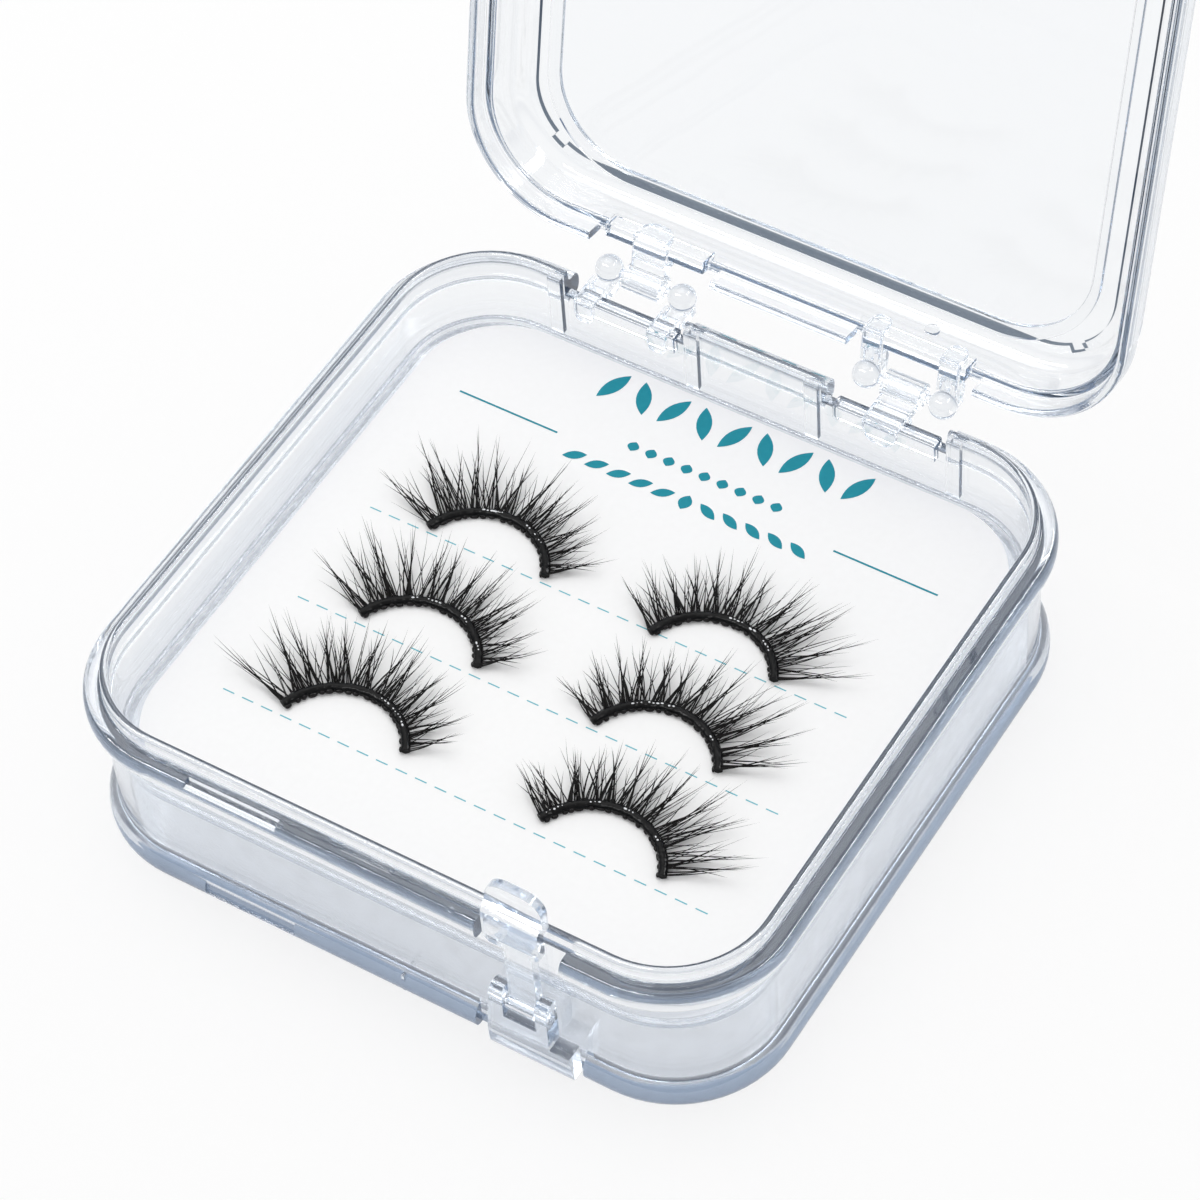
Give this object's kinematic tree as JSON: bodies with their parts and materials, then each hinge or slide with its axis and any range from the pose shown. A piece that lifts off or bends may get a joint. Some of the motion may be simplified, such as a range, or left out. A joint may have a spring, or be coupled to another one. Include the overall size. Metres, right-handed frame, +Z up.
{
  "type": "hinged eyelash case",
  "caption": "Clear hinged case with a front latch, holding half lashes in two columns on a raised printed card.",
  "frame": {"origin": "centre of the flat underside that the case rests on, with the lid open", "axes": "+X along the hinge axis towards the latch's side, +Y towards the hinges, +Z up through the card"},
  "size_m": [0.09, 0.1156, 0.1089],
  "materials": {
    "clear_polystyrene": "polished clear",
    "clear_platform": "lightly frosted clear",
    "white_card": "smooth white print card",
    "black_glue": "glossy dried adhesive",
    "black_fibre": "satin fine fibre"
  },
  "bodies": {
    "base": {"base_shell": "clear_polystyrene", "insert_platform": "clear_platform", "insert_card": "white_card", "lash_glue_band_1": "black_glue", "lash_fibres_1": "black_fibre", "lash_glue_band_2": "black_glue", "lash_fibres_2": "black_fibre", "lash_glue_band_3": "black_glue", "lash_fibres_3": "black_fibre", "lash_glue_band_4": "black_glue", "lash_fibres_4": "black_fibre", "lash_glue_band_5": "black_glue", "lash_fibres_5": "black_fibre", "lash_glue_band_6": "black_glue", "lash_fibres_6": "black_fibre", "hinge_left_base_clip_a": "clear_polystyrene", "hinge_left_base_clip_b": "clear_polystyrene", "hinge_left_pin": "clear_polystyrene", "hinge_right_base_clip": "clear_polystyrene", "hinge_right_pin": "clear_polystyrene", "latch_bracket": "clear_polystyrene", "latch_pin": "clear_polystyrene"},
    "lid": {"lid_shell": "clear_polystyrene", "hinge_left_lid_clip": "clear_polystyrene", "hinge_right_lid_clip_a": "clear_polystyrene", "hinge_right_lid_clip_b": "clear_polystyrene"},
    "latch": {"latch_lever": "clear_polystyrene"}
  },
  "joints": [
    {"name": "lid_hinge", "type": "hinge", "parent": "base", "child": "lid", "pos_m": [0, 0.0456, 0.02215], "axis": [1, 0, 0], "range_deg": [0, 101.3]},
    {"name": "latch_swing", "type": "hinge", "parent": "base", "child": "latch", "pos_m": [0.0194, -0.04335, 0.0098], "axis": [1, 0, 0], "range_deg": [0, 55]}
  ]
}
